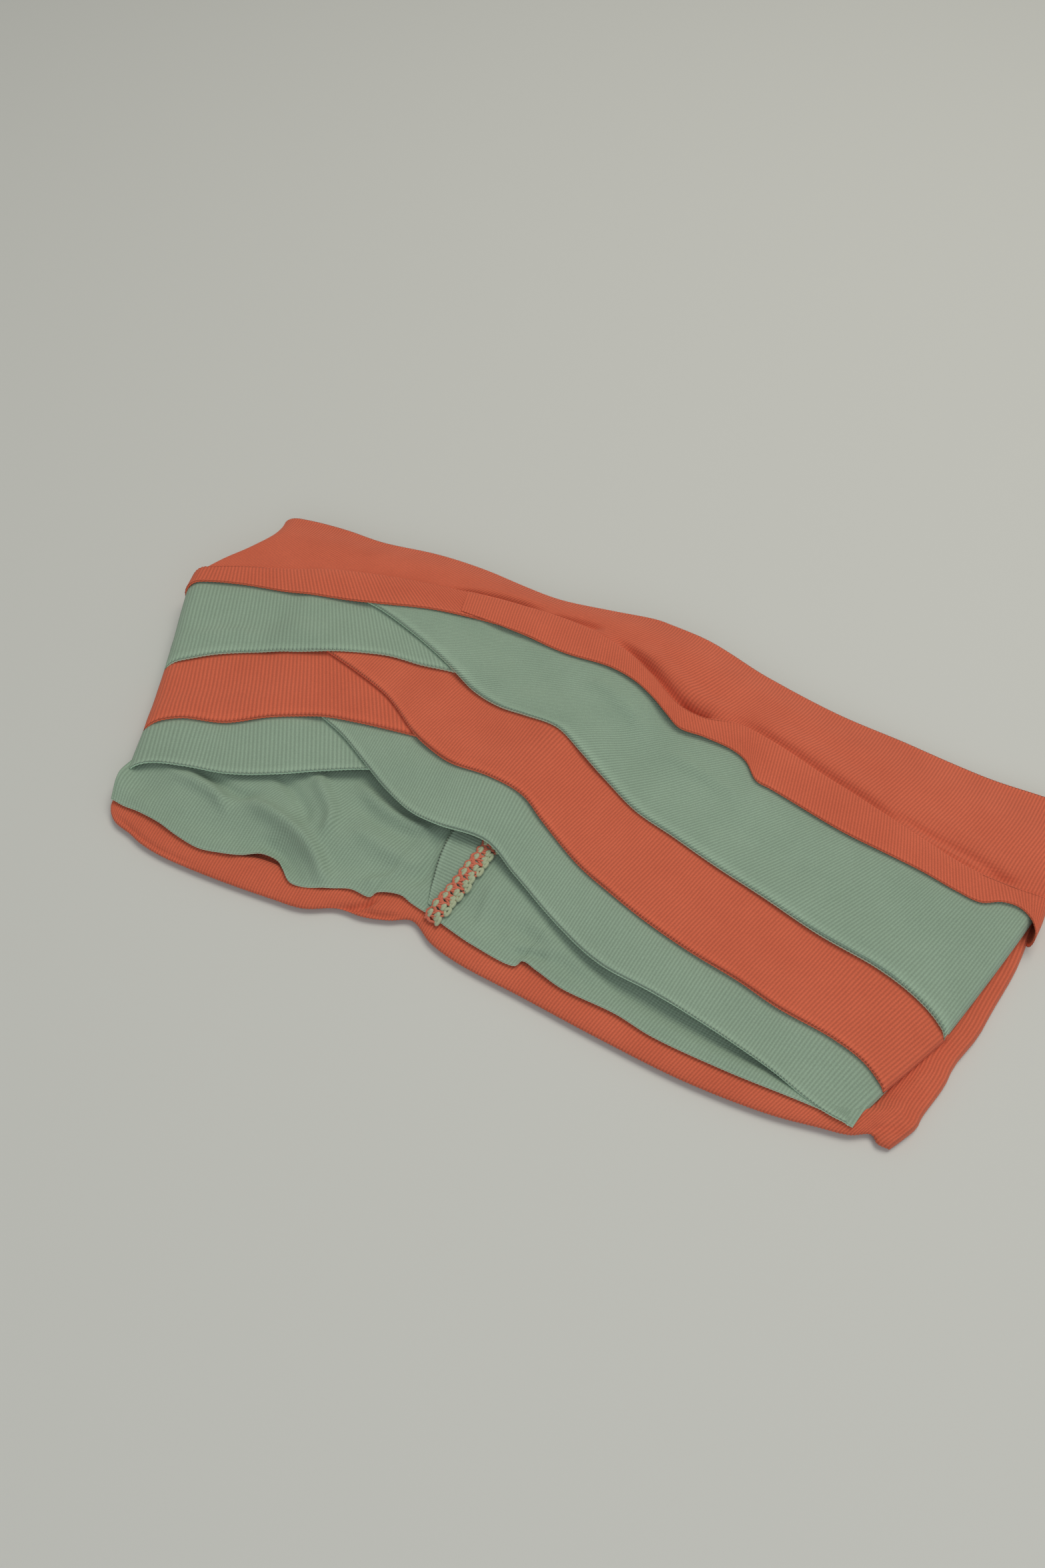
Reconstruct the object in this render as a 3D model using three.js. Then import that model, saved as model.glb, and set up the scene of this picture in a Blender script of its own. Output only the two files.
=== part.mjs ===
// A stretch headband of folded jersey strips, lying flat with its loop closed. Millimetres, +Z up.
// The back half lies on the table: outer cloth below, lining above. The front half lies over it,
// with a flat opening between the two that a head goes through. Two sets of folded strips cross on
// the front like a chevron, each one lying a cloth higher than the strip it covers.
import * as THREE from 'three';

// Driving dimensions.
const bandLength = 298; // from the left fold to the right fold
const bandDepth = 141; // from the near rim to the far rim
const clothThickness = 0.8; // one pressed strip or panel
const clearance = 0.3; // between pieces that lie on each other
const sideGap = 0.4; // between pieces that lie side by side
const stripOverlap = 8; // the part of a strip that the next one hides
const hemWidth = 5; // outer cloth turned in over the lining's rim
const mouthHeight = 4.8; // open height between the hem and the front half
const pressedDrop = 3.9; // how much lower the front half lies towards the right fold
const seamReach = 15; // from a fold in to the side seam under it
const seamThreadWidth = 1.8; // one row of overlock thread
const pleatDepth = 6; // the crown panel's near edge, tucked under the top strips
const crownSag = 6.4; // how far the crown panel's far rim hangs below its near edge
const seamAllowanceWidth = 4.5; // cloth beyond the lining's back seam
const seamLength = 30; // the stretch of back seam that the folded strips leave open to view

// The outlines below are drawn for a band of this length and depth, and follow the two above.
const drawn = { length: 298, depth: 141, left: -30, near: -6 };

const coral = { color: '#f2714f', roughness: 0.9, metalness: 0 };
const mint = { color: '#a6c6ac', roughness: 0.9, metalness: 0 };
const seamMint = { color: '#cfdcc8', roughness: 0.8, metalness: 0 };

const pitch = clothThickness + clearance;
const liningHeight = pitch;
const hemHeight = 2 * pitch;
const frontHeight = hemHeight + clothThickness + mouthHeight;
const headband = new THREE.Group();
const sideSeamPoints = [[], []]; // where the returns end, at the left and at the right

function place([x, y]) {
  const across = ((x - drawn.left) / drawn.length - 0.5) * bandLength;
  const deep = ((y - drawn.near) / drawn.depth - 0.5) * bandDepth;
  return new THREE.Vector3(across, deep, 0);
}

function line(points) {
  return new THREE.CatmullRomCurve3(points.map(place), false, 'centripetal');
}

// Height of the underside of the front half, `level` cloths above its lining.
function frontLevel(level) {
  const flatUntil = place([150, 0]).x;
  const lowFrom = place([225, 0]).x;
  return (point) => {
    const drop = pressedDrop * THREE.MathUtils.smoothstep(point.x, flatUntil, lowFrom);
    return frontHeight + level * pitch - drop;
  };
}

function level(height) {
  return () => height;
}

// A curve moved sideways in plan: by `full` over most of its length, by `atFold` where a fold starts or ends.
function shifted(curve, full, { atStart = full, atEnd = full } = {}) {
  return (s) => {
    const tangent = curve.getTangentAt(s);
    const side = new THREE.Vector3(-tangent.y, tangent.x, 0);
    const fromStart = THREE.MathUtils.smoothstep(s, 0.08, 0.25);
    const toEnd = THREE.MathUtils.smoothstep(1 - s, 0.08, 0.25);
    const offset = full + (atStart - full) * (1 - fromStart) + (atEnd - full) * (1 - toEnd);
    return curve.getPointAt(s).addScaledVector(side, offset);
  };
}

function along(curve, from = 0, to = 1) {
  return (s) => curve.getPointAt(from + (to - from) * s);
}

// A patch between two long edges, given as functions of s from 0 to 1, and two optional end lines.
function patch(near, far, left = null, right = null) {
  const leftEnd = left || ((v) => near(0).lerp(far(0), v));
  const rightEnd = right || ((v) => near(1).lerp(far(1), v));
  return (s, v) => {
    const point = near(s).multiplyScalar(1 - v).addScaledVector(far(s), v);
    point.addScaledVector(leftEnd(v), 1 - s).addScaledVector(rightEnd(v), s);
    const corners = near(0).multiplyScalar((1 - s) * (1 - v)).addScaledVector(far(0), (1 - s) * v);
    corners.addScaledVector(near(1), s * (1 - v)).addScaledVector(far(1), s * v);
    return point.sub(corners);
  };
}

// A closed body between two grids of points, `outer` and `inner`, of the same size.
function clothSolid(outer, inner) {
  const columns = outer.length;
  const rows = outer[0].length;
  const positions = [...outer.flat(), ...inner.flat()].flatMap((p) => [p.x, p.y, p.z]);
  const faces = [];
  const at = (side, i, j) => side * columns * rows + i * rows + j;
  const quad = (a, b, c, d) => faces.push(a, b, c, a, c, d);
  for (let i = 0; i < columns - 1; i += 1) {
    for (let j = 0; j < rows - 1; j += 1) {
      quad(at(0, i, j), at(0, i + 1, j), at(0, i + 1, j + 1), at(0, i, j + 1));
      quad(at(1, i, j), at(1, i, j + 1), at(1, i + 1, j + 1), at(1, i + 1, j));
    }
    quad(at(0, i, 0), at(1, i, 0), at(1, i + 1, 0), at(0, i + 1, 0));
    quad(at(0, i + 1, rows - 1), at(1, i + 1, rows - 1), at(1, i, rows - 1), at(0, i, rows - 1));
  }
  for (let j = 0; j < rows - 1; j += 1) {
    quad(at(0, 0, j + 1), at(1, 0, j + 1), at(1, 0, j), at(0, 0, j));
    quad(at(0, columns - 1, j), at(1, columns - 1, j), at(1, columns - 1, j + 1), at(0, columns - 1, j + 1));
  }
  const geometry = new THREE.BufferGeometry();
  geometry.setAttribute('position', new THREE.Float32BufferAttribute(positions, 3));
  geometry.setIndex(faces);
  if (signedVolume(geometry) < 0) {
    geometry.setIndex(faces.reverse());
  }
  geometry.computeVertexNormals();
  return geometry;
}

function signedVolume(geometry) {
  const corner = [0, 1, 2].map(() => new THREE.Vector3());
  const { position } = geometry.attributes;
  const { array } = geometry.index;
  let volume = 0;
  for (let f = 0; f < array.length; f += 3) {
    corner.forEach((c, k) => c.fromBufferAttribute(position, array[f + k]));
    volume += corner[0].dot(corner[1].clone().cross(corner[2])) / 6;
  }
  return volume;
}

function add(name, finish, geometry) {
  const mesh = new THREE.Mesh(geometry, new THREE.MeshStandardMaterial(finish));
  mesh.name = name;
  headband.add(mesh);
}

function raised(point, height) {
  return new THREE.Vector3(point.x, point.y, height);
}

// A run of cloth over a patch, its underside at height(point, v).
function runOfCloth(plan, height, steps, rows, from = 0, to = 1) {
  const top = [];
  const underside = [];
  for (let i = 0; i <= steps; i += 1) {
    const s = from + ((to - from) * i) / steps;
    const points = Array.from({ length: rows + 1 }, (_, j) => plan(s, j / rows));
    top.push(points.map((p, j) => raised(p, height(p, j / rows) + clothThickness)));
    underside.push(points.map((p, j) => raised(p, height(p, j / rows))));
  }
  return clothSolid(top, underside);
}

// The half turn at an end of a run, and the return below it to the side seam. `end` is 0 for the left
// and 1 for the right.
function foldOfCloth(plan, height, end, rows) {
  const turnSteps = 8;
  const outer = [];
  const inner = [];
  for (let j = 0; j <= rows; j += 1) {
    const tip = plan(end, j / rows);
    const share = foldShare(plan, height, j / rows, end);
    const start = plan(Math.abs(end - share), j / rows);
    const outward = tip.clone().sub(start).normalize();
    const radius = foldRadius(height, start, j / rows);
    const middle = liningHeight + radius;
    const column = { outer: [], inner: [] };
    for (let k = 0; k <= turnSteps; k += 1) {
      const angle = (Math.PI * k) / turnSteps;
      for (const [side, r] of [['outer', radius], ['inner', radius - clothThickness]]) {
        const point = start.clone().addScaledVector(outward, sideGap + r * Math.sin(angle));
        column[side].push(raised(point, middle + r * Math.cos(angle)));
      }
    }
    const last = tip.clone().addScaledVector(outward, -seamReach);
    column.outer.push(raised(last, liningHeight));
    column.inner.push(raised(last, liningHeight + clothThickness));
    outer.push(column.outer);
    inner.push(column.inner);
    sideSeamPoints[end].push(last);
  }
  return clothSolid(outer, inner);
}

function foldRadius(height, point, v) {
  return (height(point, v) + clothThickness - liningHeight) / 2;
}

// The share of a run's length that its fold takes up.
function foldShare(plan, height, v, end) {
  const reach = plan(0.5, v).distanceTo(plan(end, v)) * 2;
  return (foldRadius(height, plan(end, v), v) + sideGap) / reach;
}

// A strip or panel of the front half: its flat run, and a fold node at each end that turns under.
function frontPiece(name, finish, { plan, height, steps, rows, left = false, right = false }) {
  const widest = (end) => Math.max(foldShare(plan, height, 0, end), foldShare(plan, height, 1, end));
  const from = left ? widest(0) : 0;
  const to = right ? 1 - widest(1) : 1;
  add(name, finish, runOfCloth(plan, height, steps, rows, from, to));
  if (left) {
    add(`${name}_left_fold`, finish, foldOfCloth(plan, height, 0, rows));
  }
  if (right) {
    add(`${name}_right_fold`, finish, foldOfCloth(plan, height, 1, rows));
  }
}

// Outlines in plan. Each strip is named by the edge that shows, its lower one.
const nearRim = line([[-3, 5], [8, -3], [38, -6], [66, -4], [92, 1], [126, -1], [170, -4], [212, -6], [236, -4]]);
const farRim = line([[-15, 130], [4, 133], [42, 135], [82, 132], [126, 135], [149, 132], [178, 125], [209, 121], [268, 115]]);
const leftRim = line([[-3, 5], [-8, 30], [-17, 55], [-27, 85], [-24, 104], [-15, 128]]);
const rightRim = line([[236, -4], [243, 14], [250, 38], [257, 68], [262, 86], [266, 113]]);
const pleatLine = line([
  [-30, 90], [-6, 99], [24, 109], [47, 114], [72, 117], [98, 118],
  [116, 114], [140, 103], [175, 96], [200, 90], [229, 81], [264, 77],
]);
const leftEdges = [
  line([[-28, 81], [-10, 88], [17, 95], [44, 100], [67, 109], [92, 110]]),
  line([[-17, 53], [-5, 59], [16, 70], [40, 79], [62, 84], [86, 92]]),
  line([[-9, 29], [3, 35], [19, 41], [33, 49], [49, 56], [84, 66]]),
  line([[-4, 14], [8, 20], [24, 25], [43, 33], [59, 42], [76, 48]]),
];
const rightEdges = [
  line([[64, 108], [85, 110], [105, 106], [122, 105], [140, 93], [160, 90], [179, 82], [216, 75], [259, 70]]),
  line([
    [20, 104], [55, 94], [76, 85], [95, 78], [111, 77], [124, 70],
    [142, 60], [169, 52], [203, 42], [225, 38], [246, 31],
  ]),
  line([
    [22, 81], [57, 68], [72, 60], [88, 53], [109, 53], [125, 42],
    [143, 32], [165, 25], [195, 19], [218, 16], [236, 9],
  ]),
  line([
    [30, 60], [58, 47], [74, 39], [89, 34], [109, 33], [120, 27],
    [137, 18], [156, 12], [190, 5], [216, 1.5], [230, 1],
  ]),
];
// The upper edges are hidden by the strip above, and stand beside it where the cloth folds under.
const besideUpper = { left: { atStart: -sideGap }, right: { atStart: 0, atEnd: -sideGap } };
const topPleat = { left: along(pleatLine, 0, 0.42), right: along(pleatLine, 0.32, 1) };
// Levels of the front half, lowest first: where the strips cross, the left and right sets take turns.
const levels = { left: [8, 5, 3, 1], right: [9, 6, 4, 2], crown: 7 };

// Front half: the crown panel, which sags to its far rim, and the strips over its near side.
const crownLevel = frontLevel(levels.crown);
frontPiece('crown_panel', coral, {
  plan: patch(shifted(pleatLine, -pleatDepth, { atStart: sideGap, atEnd: sideGap }), along(farRim)),
  height: (point, v) => crownLevel(point) - crownSag * THREE.MathUtils.smoothstep(v, 0.4, 1),
  steps: 24,
  rows: 5,
  left: true,
  right: true,
});
for (const [side, edges] of [['left', leftEdges], ['right', rightEdges]]) {
  edges.forEach((edge, k) => {
    const upper = k === 0 ? topPleat[side] : shifted(edges[k - 1], stripOverlap, besideUpper[side]);
    frontPiece(`${side}_strip_${k + 1}`, k % 2 ? mint : coral, {
      plan: patch(along(edge), upper),
      height: frontLevel(levels[side][k]),
      steps: side === 'left' ? 14 : 26,
      rows: 2,
      [side]: true,
    });
  });
}

// The front half's lining backs the strips, behind the arch of their lowest edges.
const frontLiningNear = line([[14, 26], [40, 38], [62, 48], [88, 41], [109, 39], [137, 26], [170, 16], [212, 8]]);
const frontLiningFar = line([[-2, 117], [45, 127], [84, 125], [128, 127], [150, 124], [185, 116], [246, 108]]);
add('lining_front', mint, runOfCloth(patch(along(frontLiningNear), along(frontLiningFar)), frontLevel(0), 20, 4));

// Side seams: overlock thread along the ends of the returns.
const sideSeams = sideSeamPoints.map((points) => {
  const ordered = [...points].sort((a, b) => a.y - b.y);
  return new THREE.CatmullRomCurve3(ordered, false, 'centripetal');
});

function sideSeam(seam, inward) {
  const moved = (distance) => (s) => seam.getPointAt(s).add(new THREE.Vector3(inward * distance, 0, 0));
  return runOfCloth(patch(moved(2 * sideGap), moved(2 * sideGap + seamThreadWidth)), level(liningHeight), 20, 1);
}
add('left_side_seam', seamMint, sideSeam(sideSeams[0], 1));
add('right_side_seam', seamMint, sideSeam(sideSeams[1], -1));

// Back half: outer cloth with its near rim turned in over the lining.
const backPlan = patch(along(nearRim), shifted(farRim, -2), along(leftRim), along(rightRim));

function outerCloth() {
  const columns = 26;
  const turnSteps = 6;
  const radius = (hemHeight + clothThickness) / 2;
  const outer = [];
  const inner = [];
  for (let i = 0; i <= columns; i += 1) {
    const rim = backPlan(i / columns, 0);
    const inward = backPlan(i / columns, 0.1).sub(rim).normalize();
    const start = rim.clone().addScaledVector(inward, radius);
    const flat = [1, 0.8, 0.6, 0.4, 0.2].map((v) => backPlan(i / columns, v));
    const outerColumn = flat.map((p) => raised(p, 0));
    const innerColumn = flat.map((p) => raised(p, clothThickness));
    for (let k = 0; k <= turnSteps; k += 1) {
      const angle = (Math.PI * k) / turnSteps;
      const bend = (r) => start.clone().addScaledVector(inward, -r * Math.sin(angle));
      outerColumn.push(raised(bend(radius), radius - radius * Math.cos(angle)));
      const innerRadius = radius - clothThickness;
      innerColumn.push(raised(bend(innerRadius), radius - innerRadius * Math.cos(angle)));
    }
    const end = start.clone().addScaledVector(inward, hemWidth - radius);
    outerColumn.push(raised(end, hemHeight + clothThickness));
    innerColumn.push(raised(end, hemHeight));
    outer.push(outerColumn);
    inner.push(innerColumn);
  }
  return clothSolid(outer, inner);
}
add('back_outer_panel', coral, outerCloth());

// Back half: lining, in two runs that meet at the back seam and end at the side seams.
const liningInset = (hemHeight + clothThickness) / 2 + clearance;
const cornerRun = 12; // at the near left corner the lining runs on to the fold, before the strips begin
const seamAt = { near: place([103, 8]), far: place([112, 133]) };
const seamTangent = seamAt.far.clone().sub(seamAt.near).normalize();
const seamSide = new THREE.Vector3(seamTangent.y, -seamTangent.x, 0);
const seamPoint = (v) => seamAt.near.clone().lerp(seamAt.far, v);

// The `wanted` coordinate of a curve where its `known` one has a value: x at a depth y, or y at an x.
function crossing(curve, known, value, wanted) {
  const points = Array.from({ length: 61 }, (_, i) => curve(i / 60));
  const ordered = points.sort((a, b) => a[known] - b[known]);
  const next = ordered.findIndex((p) => p[known] >= value);
  if (next <= 0) {
    return next === 0 ? ordered[0][wanted] : ordered.at(-1)[wanted];
  }
  const [a, b] = [ordered[next - 1], ordered[next]];
  return THREE.MathUtils.mapLinear(value, a[known], b[known], a[wanted], b[wanted]);
}

function liningRun(side) {
  const columns = 10;
  const rows = 24;
  const seam = along(sideSeams[side < 0 ? 0 : 1]);
  const rims = { near: shifted(nearRim, liningInset), far: shifted(farRim, -liningInset - 2) };
  const depthAt = (x, v) => {
    const near = crossing(rims.near, 'x', x, 'y');
    return THREE.MathUtils.lerp(near, crossing(rims.far, 'x', x, 'y'), v);
  };
  const cornerX = rims.near(0).x + liningInset;
  const endX = (y) => {
    const beside = crossing(seam, 'y', y, 'x') - side * (seamThreadWidth + 5 * sideGap);
    const past = side < 0 ? THREE.MathUtils.smoothstep(y, seam(0).y - cornerRun, seam(0).y - sideGap) : 1;
    return THREE.MathUtils.lerp(cornerX, beside, past);
  };
  const rowEnd = (v) => {
    let x = seam(0.5).x;
    for (let pass = 0; pass < 8; pass += 1) {
      x = endX(depthAt(x, v));
    }
    return x;
  };
  const plan = (s, v) => {
    const fromSeam = seamPoint(v).addScaledVector(seamSide, (side * sideGap) / 2);
    const x = THREE.MathUtils.lerp(fromSeam.x, rowEnd(v), s);
    return new THREE.Vector3(x, depthAt(x, v), 0);
  };
  return runOfCloth(plan, level(liningHeight), columns, rows);
}
add('lining_back_left', mint, liningRun(-1));
add('lining_back_right', mint, liningRun(1));

// Back seam: the allowance lies to the left, with two rows of overlock thread beside it.
function seamStrip(from, to) {
  const near = seamPoint(0).addScaledVector(seamTangent, hemWidth);
  const plan = (s, v) => near.clone().addScaledVector(seamTangent, s * seamLength)
    .addScaledVector(seamSide, from + (to - from) * v);
  return runOfCloth(plan, level(hemHeight), 4, 1);
}
const threadRow = seamThreadWidth + sideGap;
add('back_seam_allowance', mint, seamStrip(-2 * threadRow - seamAllowanceWidth, -2 * threadRow));
add('back_seam_coral_thread', coral, seamStrip(-2 * threadRow + sideGap, -threadRow));
add('back_seam_mint_thread', seamMint, seamStrip(-threadRow + sideGap, 0));

// The part stands with its origin under the middle of its box.
const middle = new THREE.Box3().setFromObject(headband).getCenter(new THREE.Vector3());
headband.position.set(-middle.x, -middle.y, 0);

export default headband;
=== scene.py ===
import math

import bpy
import numpy as np
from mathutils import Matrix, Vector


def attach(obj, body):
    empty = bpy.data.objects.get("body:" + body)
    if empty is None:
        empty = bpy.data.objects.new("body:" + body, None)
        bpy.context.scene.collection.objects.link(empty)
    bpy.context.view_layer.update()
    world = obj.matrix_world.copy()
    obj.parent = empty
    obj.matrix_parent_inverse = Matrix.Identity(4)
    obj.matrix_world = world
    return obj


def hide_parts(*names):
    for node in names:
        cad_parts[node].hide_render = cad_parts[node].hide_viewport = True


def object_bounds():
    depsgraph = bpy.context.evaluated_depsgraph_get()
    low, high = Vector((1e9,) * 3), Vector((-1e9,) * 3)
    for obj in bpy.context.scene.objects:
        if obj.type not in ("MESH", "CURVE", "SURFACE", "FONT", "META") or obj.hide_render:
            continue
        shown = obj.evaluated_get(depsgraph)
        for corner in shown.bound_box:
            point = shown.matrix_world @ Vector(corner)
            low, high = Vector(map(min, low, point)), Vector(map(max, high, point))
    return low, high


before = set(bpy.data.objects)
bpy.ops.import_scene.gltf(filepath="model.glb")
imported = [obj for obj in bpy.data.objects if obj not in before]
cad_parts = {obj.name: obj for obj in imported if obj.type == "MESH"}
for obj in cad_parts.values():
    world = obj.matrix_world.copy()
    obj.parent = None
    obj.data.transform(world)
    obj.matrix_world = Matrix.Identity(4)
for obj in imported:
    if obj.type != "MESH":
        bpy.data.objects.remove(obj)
cadBox = [list(corner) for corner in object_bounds()]
print("frame loaded")

# The band is drawn flat in millimetres: x along it, y from the near rim to the far one, z up.
pattern = {"left": -30.0, "near": -6.0, "length": 298.0, "depth": 141.0}
knit = {
    "rib": 0.95,  # mm from one rib to the next in slack cloth
    "stretchedRib": 1.25,  # and in the left strips, which are pulled along their length
    "stretchedRise": 1.7,  # there the ribs stand out this many times as far
    "stationsPerRib": 4,  # points along the cloth for each rib
    "ribHeight": 0.06,
    "edgeTeeth": 0.06,  # the ribs' height where the cloth is bent over an edge
    "courses": 0.75,  # mm from one row of stitches to the next
}
layering = {
    "gap": 0.2,  # mm between a cloth and what it lies on
    "skin": 0.12,  # and what it adds to its own thickness for the next one
    "alongSamples": 900,
    "acrossSamples": 160,
}


# The drawing is stretched over the part's box, in metres, and stands on its floor.
def toPart(points):
    low, high = np.array(cadBox[0]), np.array(cadBox[1])
    placed = np.empty(points.shape)
    placed[..., 0] = low[0] + (points[..., 0] - pattern["left"]) / pattern["length"] * (high[0] - low[0])
    placed[..., 1] = low[1] + (points[..., 1] - pattern["near"]) / pattern["depth"] * (high[1] - low[1])
    placed[..., 2] = low[2] + points[..., 2] / 1000
    return placed


def smoothstep(x, start, end):
    t = np.clip((np.asarray(x, float) - start) / (end - start), 0, 1)
    return t * t * (3 - 2 * t)


def unit(vectors):
    return vectors / np.maximum(np.linalg.norm(vectors, axis=-1, keepdims=True), 1e-9)


# A smooth curve through the points, by the share of its length.
def curve(points):
    stepsPerSpan = 24
    knots = np.array(points, float)
    knots = np.vstack([2 * knots[0] - knots[1], knots, 2 * knots[-1] - knots[-2]])
    parts = []
    for a, b, c, d in zip(knots, knots[1:], knots[2:], knots[3:]):
        steps = [np.linalg.norm(q - p) ** 0.5 for p, q in ((a, b), (b, c), (c, d))]
        times = np.concatenate([[0], np.cumsum(steps)])
        t = np.linspace(times[1], times[2], stepsPerSpan, endpoint=False)[:, None]

        def mix(p, q, i, j):
            return ((times[j] - t) * p + (t - times[i]) * q) / (times[j] - times[i])

        ab, bc, cd = mix(a, b, 0, 1), mix(b, c, 1, 2), mix(c, d, 2, 3)
        parts.append(mix(mix(ab, bc, 0, 2), mix(bc, cd, 1, 3), 1, 2))
    line = np.vstack(parts + [knots[-2:-1]])
    length = np.concatenate([[0], np.cumsum(np.linalg.norm(np.diff(line, axis=0), axis=1))])

    def at(s):
        return np.stack([np.interp(s, length / length[-1], line[:, k]) for k in range(line.shape[1])], -1)

    return at


# A line moved sideways by the full distance, and by others at its ends.
def moved(line, full, atStart=None, atEnd=None):
    nudge, endShare = 0.004, 0.16

    def at(s):
        s = np.asarray(s, float)
        along = unit(line(np.clip(s + nudge, 0, 1)) - line(np.clip(s - nudge, 0, 1)))
        offset = np.full(s.shape, float(full))
        if atStart is not None:
            offset += (atStart - full) * (1 - smoothstep(s, 0.0, endShare))
        if atEnd is not None:
            offset += (atEnd - full) * smoothstep(s, 1 - endShare, 1.0)
        return line(s) + np.stack([-along[..., 1], along[..., 0]], -1) * offset[..., None]

    return at


def part(line, start, end):
    return lambda s: line(start + (end - start) * np.asarray(s, float))


# A patch of cloth in plan, s along it and v from its near edge to its far one.
def between(near, far, left=None, right=None):
    def at(s, v):
        s, v = np.broadcast_arrays(s, v)
        sides, depth = s[..., None], v[..., None]
        point = near(s) * (1 - depth) + far(s) * depth
        if left is None:
            return point
        cornersLeft = near(0.0) * (1 - depth) + far(0.0) * depth
        cornersRight = near(1.0) * (1 - depth) + far(1.0) * depth
        return point + (left(v) - cornersLeft) * (1 - sides) + (right(v) - cornersRight) * sides

    return at


# Height maps, on which one piece after another is laid.
mapGrid = {"cell": 0.5, "x": -44.0, "y": -18.0, "columns": 660, "rows": 340}
mapX = (mapGrid["x"] + mapGrid["cell"] * np.arange(mapGrid["columns"]))[:, None]
mapY = (mapGrid["y"] + mapGrid["cell"] * np.arange(mapGrid["rows"]))[None, :]


def heightAt(heights, plan):
    gx = np.clip((plan[..., 0] - mapGrid["x"]) / mapGrid["cell"], 0, mapGrid["columns"] - 1.001)
    gy = np.clip((plan[..., 1] - mapGrid["y"]) / mapGrid["cell"], 0, mapGrid["rows"] - 1.001)
    i, j = gx.astype(int), gy.astype(int)
    fx, fy = gx - i, gy - j
    lower = heights[i, j] * (1 - fx) + heights[i + 1, j] * fx
    upper = heights[i, j + 1] * (1 - fx) + heights[i + 1, j + 1] * fx
    return lower * (1 - fy) + upper * fy


def blurred(heights, distance):
    count = max(1, int(round(distance / mapGrid["cell"])))
    for axis in (0, 1):
        for _ in range(3):
            padded = np.concatenate([np.take(heights, [0] * count, axis), heights,
                                     np.take(heights, [-1] * count, axis)], axis)
            total = np.cumsum(padded, axis)
            first = np.take(total, [0], axis) * 0
            total = np.concatenate([first, total], axis)
            width = 2 * count + 1
            size = heights.shape[axis]
            heights = (np.take(total, range(width, width + size), axis)
                       - np.take(total, range(0, size), axis)) / width
    return heights


def grown(heights, distance):
    count = int(round(distance / mapGrid["cell"]))
    for axis in (0, 1):
        widest = heights.copy()
        for shift in range(-count, count + 1):
            widest = np.maximum(widest, np.roll(heights, shift, axis))
        heights = widest
    return heights


def draped(heights, reach=1.5, soften=2.0):  # what a supple cloth makes of the steps below it
    lastSoftening = 1.0
    return blurred(np.maximum(heights, blurred(grown(heights, reach), soften)), lastSoftening)


def raiseTo(heights, points, top):
    i = np.rint((points[..., 0] - mapGrid["x"]) / mapGrid["cell"]).astype(int)
    j = np.rint((points[..., 1] - mapGrid["y"]) / mapGrid["cell"]).astype(int)
    np.maximum.at(heights, (i.ravel(), j.ravel()), top.ravel())


def layOn(heights, plan, support, thickness):
    s = np.linspace(0, 1, layering["alongSamples"])[:, None]
    v = np.linspace(0, 1, layering["acrossSamples"])[None, :]
    points = plan(s, v)
    raiseTo(heights, points, heightAt(support, points) + thickness + layering["skin"])


def ridges(lines):  # soft folds: each one a path, a height and a width in mm
    samples = 60
    fadeIn, fadeOut = (-0.02, 0.25), (0.75, 1.02)  # shares of the path
    total = np.zeros((mapGrid["columns"], mapGrid["rows"]))
    for path, height, width in lines:
        nearest = np.full(total.shape, 1e9)
        place = np.zeros(total.shape)
        for k, (x, y) in enumerate(curve(path)(np.linspace(0, 1, samples))):
            distance = (mapX - x) ** 2 + (mapY - y) ** 2
            closer = distance < nearest
            nearest[closer] = distance[closer]
            place[closer] = k / (samples - 1)
        fade = smoothstep(place, *fadeIn) * (1 - smoothstep(place, *fadeOut))
        total += height * np.exp(-nearest / width ** 2) * fade
    return total


def addPiece(name, points, faces, uv=None):
    mesh = bpy.data.meshes.new(name)
    mesh.vertices.add(len(points))
    mesh.vertices.foreach_set("co", toPart(points).ravel())
    mesh.loops.add(faces.size)
    mesh.loops.foreach_set("vertex_index", faces.ravel().astype(np.int32))
    mesh.polygons.add(len(faces))
    mesh.polygons.foreach_set("loop_start", np.arange(0, faces.size, faces.shape[1], dtype=np.int32))
    mesh.update(calc_edges=True)
    if uv is not None:
        mesh.uv_layers.new(name="threads").data.foreach_set("uv", uv[faces.ravel()].ravel())
    mesh.polygons.foreach_set("use_smooth", np.ones(len(faces), bool))
    piece = bpy.data.objects.new(name, mesh)
    bpy.context.scene.collection.objects.link(piece)
    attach(piece, "root")
    return piece


def quads(columns, rows, closed=False):
    i = np.arange(columns - 1)[:, None]
    j = np.arange(rows if closed else rows - 1)[None, :]
    k = (j + 1) % rows
    corners = [i * rows + j, (i + 1) * rows + j, (i + 1) * rows + k, i * rows + k]
    return np.stack([c.ravel() for c in np.broadcast_arrays(*corners)], -1)


def ribbed(grid, rows, height, edge):  # the ribs run across the band
    along = np.gradient(grid, axis=0)
    across = np.gradient(grid, axis=1)
    normal = unit(np.cross(along, across))
    phase = 2 * math.pi * np.arange(grid.shape[0])[:, None] / knit["stationsPerRib"]
    size = height + (edge - height) * rows["bend"][None, :]
    return grid - normal * (np.cos(phase) * size)[..., None]


def rowsOf(v, t=0.0, out=0.0, bend=0.0):
    return np.stack(np.broadcast_arrays(np.asarray(v, float), t, out, bend))


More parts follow.
